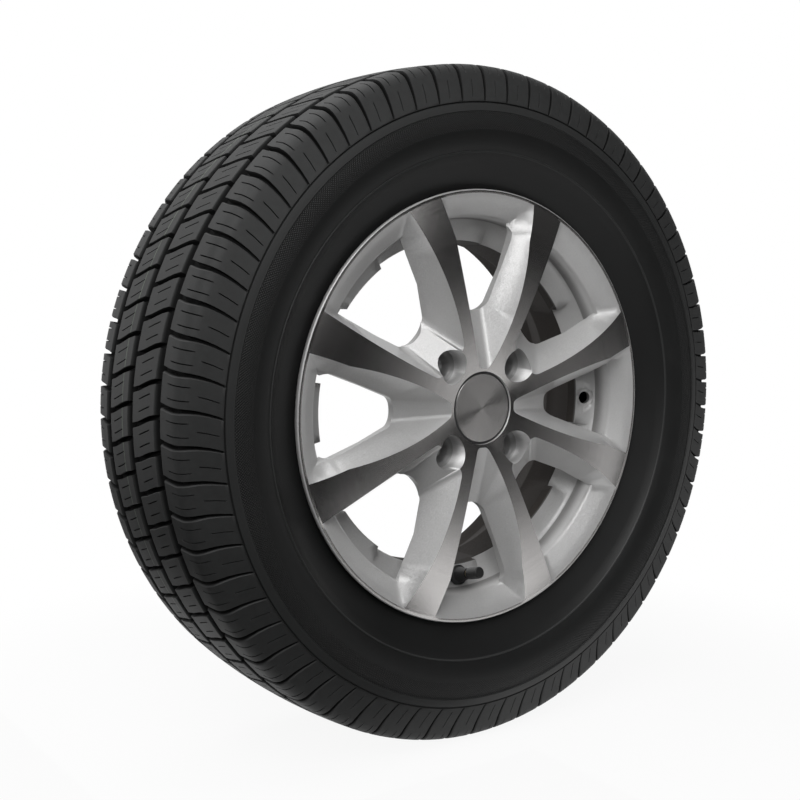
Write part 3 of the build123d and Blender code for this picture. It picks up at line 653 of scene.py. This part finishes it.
def dressed_wheel():
    """Merged copy of the casting with the turned face in its own finish and true normals on it."""
    mesh = nodes["alloy_wheel"].data.copy()
    mesh.name = "cast_wheel"
    mesh.materials.clear()
    mesh.materials.append(paint)
    mesh.materials.append(turned)
    work = bmesh.new()
    work.from_mesh(mesh)
    bmesh.ops.remove_doubles(work, verts=work.verts, dist=0.002 * MM)
    work.to_mesh(mesh)
    work.free()
    ox, oy, size = circle_through(HUB_EDGE, FACE_CROWN, LIP_PLACE)
    normals = [(0.0, 0.0, 0.0)] * len(mesh.loops)
    for face in mesh.polygons:
        face.use_smooth = True
        face.material_index = 0
        corners = [mesh.vertices[k].co / MM for k in face.vertices]
        places = [(hypot(co.x, co.z), co.y) for co in corners]
        on_lip = face.normal.y < -0.99 and all(
            abs(y - LIP_PLACE[1]) < 0.05 and r > LIP_PLACE[0] - 1 for r, y in places)
        on_face = face.normal.y < -0.9 and all(
            abs(hypot(r - ox, y - oy) - size) < FACE_TOLERANCE and r > HUB_EDGE[0] - 0.5 for r, y in places)
        if on_lip or on_face:
            face.material_index = 1
        if on_face:
            for loop, co, (r, y) in zip(face.loop_indices, corners, places):
                lean = Vector(((r - ox) * co.x / r, y - oy, (r - ox) * co.z / r)).normalized()
                normals[loop] = lean if lean.y < 0 else -lean
    mesh.set_sharp_from_angle(angle=radians(24))
    mesh.normals_split_custom_set(normals)
    piece = bpy.data.objects.new("cast_wheel", mesh)
    bpy.context.scene.collection.objects.link(piece)
    return piece


wheel = dressed_wheel()
finish_piece(wheel, "wheel", "alloy", "alloy_wheel")


# Valve and cap

cap_joint = next(joint for joint in frame["joints"] if joint["name"] == "dust_cap_turn")
valve_dir = Vector(cap_joint["axis"]).normalized()
CAP_PIVOT = 26.0                 # of the dust cap's joint along the valve, from its seat
valve_seat = Vector(cap_joint["pos_m"]) - valve_dir * CAP_PIVOT * MM
valve_lean = (atan2(-valve_dir.y, valve_dir.z), 0.0, 0.0)
valve_side = Vector((1.0, 0.0, 0.0))
valve_up = valve_dir.cross(valve_side)


def along_valve(height, radius=0.0, turn=0.0):
    """Point at a height from the seat and a radius off the valve's axis, in metres."""
    off = valve_side * cos(turn) + valve_up * sin(turn)
    return valve_seat + valve_dir * height * MM + off * radius * MM


def turned_on_valve(name, profile, material, steps=48):
    """Closed (radius, height) profile turned round the valve's axis."""
    verts = [along_valve(height, radius, 2 * pi * k / steps)
             for k in range(steps) for radius, height in profile]
    count = len(profile)
    faces = [(k * count + j, k * count + (j + 1) % count, (k + 1) % steps * count + (j + 1) % count,
              (k + 1) % steps * count + j) for k in range(steps) for j in range(count)]
    return settle(new_object(name, verts, faces, material), 30)


THREAD_PITCH = 0.794
THREAD_LENGTH = 12.3
stem_insert = turned_on_valve("stem_insert", [
    (1.5, -9.0), (3.3, -9.0), (3.3, 16.5), (3.5, 16.5), (3.5, 29.6), (3.1, 30.0), (2.65, 30.0), (2.65, 23.0),
    (2.1, 20.2), (2.1, 7.35), (1.5, 7.35)], brass)
finish_piece(stem_insert, "wheel", "brass", "valve_stem_insert")

stem_thread = new_object("stem_thread", [], [], brass)
grow(stem_thread, wound_wire, Turns=THREAD_LENGTH / THREAD_PITCH, Radius=3.6 * MM, Height=THREAD_LENGTH * MM,
     Wire=0.22 * MM, Foot=along_valve(17.0), Lean=valve_lean, Material=brass)
settle(stem_thread, 60)
finish_piece(stem_thread, "wheel", "brass")

SPRING_FOOT = 14.21
SPRING_HEIGHT = 5.98
core_spring = new_object("core_spring", [], [], spring_steel)
grow(core_spring, wound_wire, Turns=6.0, Radius=0.875 * MM, Height=SPRING_HEIGHT * MM, Wire=0.16 * MM,
     Foot=along_valve(SPRING_FOOT), Lean=valve_lean, Material=spring_steel)
settle(core_spring, 60)
finish_piece(core_spring, "wheel", "spring_steel", "valve_spring")
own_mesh(core_spring)


CAP_RIBS = 24


def cap_rib():
    """One grip rib of the dust cap, from its foot to its crown, about the cap's own axis."""
    verts = []
    for height, size in ((19.4, 0.10), (20.2, 0.26), (30.6, 0.26), (31.6, 0.10)):
        for turn in (-90, -45, 0, 45, 90, 180):
            off = 4.86 + size * cos(radians(turn))
            verts.append((valve_side * off + valve_up * size * 1.2 * sin(radians(turn))
                          + valve_dir * (height - CAP_PIVOT)) * MM)
    faces = [(j * 6 + i, j * 6 + (i + 1) % 6, (j + 1) * 6 + (i + 1) % 6, (j + 1) * 6 + i)
             for j in range(3) for i in range(6)]
    faces += [tuple(range(6)), tuple(range(18, 24))]
    return verts, faces


cap_ribs = new_object("dust_cap_ribs", *cap_rib(), dust_black)
grow(cap_ribs, ring_of_copies, Count=CAP_RIBS, Axis=tuple(valve_dir), Centre=tuple(along_valve(CAP_PIVOT)),
     Join=0.0, Material=dust_black)
settle(cap_ribs, 50)
finish_piece(cap_ribs, "dust_cap", "black_plastic")

for node, material in (
        ("centre_cap", cap_black), ("centre_cap_disc", turned_disc), ("centre_cap_clip_ring", spring_steel),
        ("valve_stem_rubber", valve_rubber), ("valve_core_plug", brass), ("valve_core_barrel", brass),
        ("valve_core_gasket", red_seal), ("valve_pin", brass), ("valve_pin_seal", seal_rubber),
        ("valve_cap", dust_black), ("valve_cap_seal", seal_rubber)):
    nodes[node].data.materials.clear()
    nodes[node].data.materials.append(material)


# Studio

FLOOR_SIZE = 12.0
SHADOW_EDGE = (0.1, 0.4)         # square of the distance where the floor turns plain white
FLOOR_FADE = 0.35                # how much darker the floor mirrors on the right
FADE_PART = (0.12, 0.40)
BACKDROP = (0.0, 0.3)            # where the dim room turns into the white backdrop, by direction
ROOM_DARK = 0.05
CARD_ACROSS = (-0.2, 0.3)        # pale card above the camera, which the turned metal mirrors
CARD_UP = (0.34, 0.7)
AMBIENT = 0.19
SCREEN_LEFT = -1.6
SCREEN_RIGHT = 1.0
SCREEN_Y = -0.72
SCREEN_TOP = 0.4
PALER_PART = (0.42, 0.66)        # part of the screen that is grey, across
PALER_TOP = (0.0, 0.2)           # and where it fades out, up
CLOTH_RIGHT = 0.02
CLOTH_BACK = 1.1
CLOTH_GAP = -0.03
CLOTH_LIFT = 0.002


def studio_floor():
    """Pale floor that shows white to the camera and in reflections but keeps a soft shadow."""
    material = bpy.data.materials.new("studio_floor")
    material.use_nodes = True
    graph = Graph(material.node_tree)
    graph.tree.nodes.clear()
    path = graph.add("ShaderNodeLightPath").outputs
    split = graph.add("ShaderNodeSeparateXYZ", None, {0: graph.add("ShaderNodeTexCoord").outputs["Object"]})
    x, y = graph.value(split.outputs["X"]), graph.value(split.outputs["Y"])
    far = (x * x + y * y).ramp(*SHADOW_EDGE)
    mirrored = graph.value(path["Is Glossy Ray"])
    plain = graph.value(path["Is Camera Ray"]) + graph.value(path["Is Transmission Ray"])
    matt = graph.add("ShaderNodeBsdfDiffuse", None, {"Color": (0.86, 0.86, 0.86, 1)})
    white = graph.add("ShaderNodeEmission", None, {
        "Color": (1, 1, 1, 1), "Strength": 1 - mirrored * FLOOR_FADE * x.ramp(*FADE_PART)})
    seen = graph.math("MINIMUM", plain + mirrored, 1.0)
    both = graph.add("ShaderNodeMixShader", None, {
        0: seen * (0.92 + 0.08 * far), 1: matt.outputs[0], 2: white.outputs[0]})
    graph.add("ShaderNodeOutputMaterial", None, {"Surface": both.outputs[0]})
    half = FLOOR_SIZE / 2
    level = cad_box[0][2]
    corners = [(-half, -half, level), (half, -half, level), (half, half, level), (-half, half, level)]
    floor = new_object("studio_floor", corners, [(0, 1, 2, 3)], material)


def studio_world():
    """White backdrop for the camera and in reflections, and a dim room on the camera's side."""
    world = bpy.data.worlds.new("studio")
    bpy.context.scene.world = world
    world.use_nodes = True
    graph = Graph(world.node_tree)
    graph.tree.nodes.clear()
    path = graph.add("ShaderNodeLightPath").outputs
    plain = graph.math("MAXIMUM", path["Is Camera Ray"], path["Is Transmission Ray"])
    direction = graph.add("ShaderNodeTexCoord").outputs["Generated"]
    split = graph.add("ShaderNodeSeparateXYZ", None, {0: direction})
    x, y, z = (graph.value(out) for out in split.outputs)
    behind = y.ramp(*BACKDROP)
    card = x.band(*CARD_ACROSS, 0.1) * z.band(*CARD_UP, 0.1)
    mirrored = graph.value(path["Is Glossy Ray"])
    front = (1 - behind) * (ROOM_DARK + (1 - ROOM_DARK) * card)
    strength = plain + (1 - plain) * (mirrored * (front + behind) + (1 - mirrored) * AMBIENT)
    light = graph.add("ShaderNodeBackground", None, {"Color": (1, 1, 1, 1), "Strength": strength})
    graph.add("ShaderNodeOutputWorld", None, {"Surface": light.outputs[0]})


def dark_screen():
    """Dark cloth on the floor by the camera with an upright edge, which the camera doesn't see.

    The turned face reflects it, which gives the spokes their contrast.
    """
    finish = Finish("dark_screen", roughness=0.9, specular_ior_level=0.0)
    paler = finish.x.band(*PALER_PART, 0.2) * (1 - finish.z.ramp(*PALER_TOP))
    finish.set(base_color=finish.grey(0.015 + 0.42 * paler))
    low = cad_box[0][2] + CLOTH_LIFT
    front, side = cad_box[0][1] + CLOTH_GAP, cad_box[0][0] + CLOTH_GAP
    plan = [(CLOTH_RIGHT, front), (CLOTH_RIGHT, SCREEN_Y), (SCREEN_LEFT, SCREEN_Y), (SCREEN_LEFT, CLOTH_BACK),
            (side, CLOTH_BACK), (side, front)]
    upright = [(SCREEN_LEFT, low), (SCREEN_RIGHT, low), (SCREEN_RIGHT, SCREEN_TOP), (SCREEN_LEFT, SCREEN_TOP)]
    corners = [(x, y, low) for x, y in plan] + [(x, SCREEN_Y, z) for x, z in upright]
    faces = [tuple(range(len(plan))), tuple(range(len(plan), len(corners)))]
    screen = new_object("dark_screen", corners, faces, finish.material)
    screen.visible_camera = False
    screen.visible_shadow = False


def soft_box(name, place, width, height, power):
    """Soft rectangular light that looks at the origin."""
    light = bpy.data.lights.new(name, "AREA")
    light.shape = "RECTANGLE"
    light.size = width
    light.size_y = height
    light.energy = power
    lamp = bpy.data.objects.new(name, light)
    lamp.matrix_world = Matrix.Translation(place) @ Vector(place).to_track_quat("Z", "Y").to_matrix().to_4x4()
    bpy.context.scene.collection.objects.link(lamp)


studio_floor()
studio_world()
dark_screen()
soft_box("top_box", (-0.6, 0.1, 2.1), 2.0, 1.6, 26.0)
soft_box("left_box", (-1.2, -1.45, 1.3), 1.6, 1.6, 38.0)


# Camera

IMAGE = 800                      # pixels each way
CAMERA_AZIMUTH = radians(-37.28)
CAMERA_ELEVATION = radians(6.04)
CAMERA_DISTANCE = 1.046
CAMERA_ROLL = radians(-1.1)      # about the spin axis
FOCAL_PIXELS = 1181.0
AIM_PIXEL = (436.1, 401.6)       # where the origin shows
SENSOR = 36.0

back = Vector((sin(CAMERA_AZIMUTH) * cos(CAMERA_ELEVATION), -cos(CAMERA_AZIMUTH) * cos(CAMERA_ELEVATION),
               sin(CAMERA_ELEVATION)))
right = Vector((cos(CAMERA_AZIMUTH), sin(CAMERA_AZIMUTH), 0.0))
up = back.cross(right)
stand = Matrix((right, up, back)).transposed().to_4x4()
stand.translation = back * CAMERA_DISTANCE
camera_data = bpy.data.cameras.new("camera")
camera_data.sensor_width = SENSOR
camera_data.lens = FOCAL_PIXELS / IMAGE * SENSOR
camera_data.shift_x = (IMAGE / 2 - AIM_PIXEL[0]) / IMAGE
camera_data.shift_y = (AIM_PIXEL[1] - IMAGE / 2) / IMAGE
camera_data.clip_start = 0.01
camera = bpy.data.objects.new("camera", camera_data)
camera.matrix_world = Matrix.Rotation(CAMERA_ROLL, 4, "Y") @ stand
bpy.context.scene.collection.objects.link(camera)
bpy.context.scene.camera = camera
bpy.context.scene.view_settings.view_transform = "Standard"
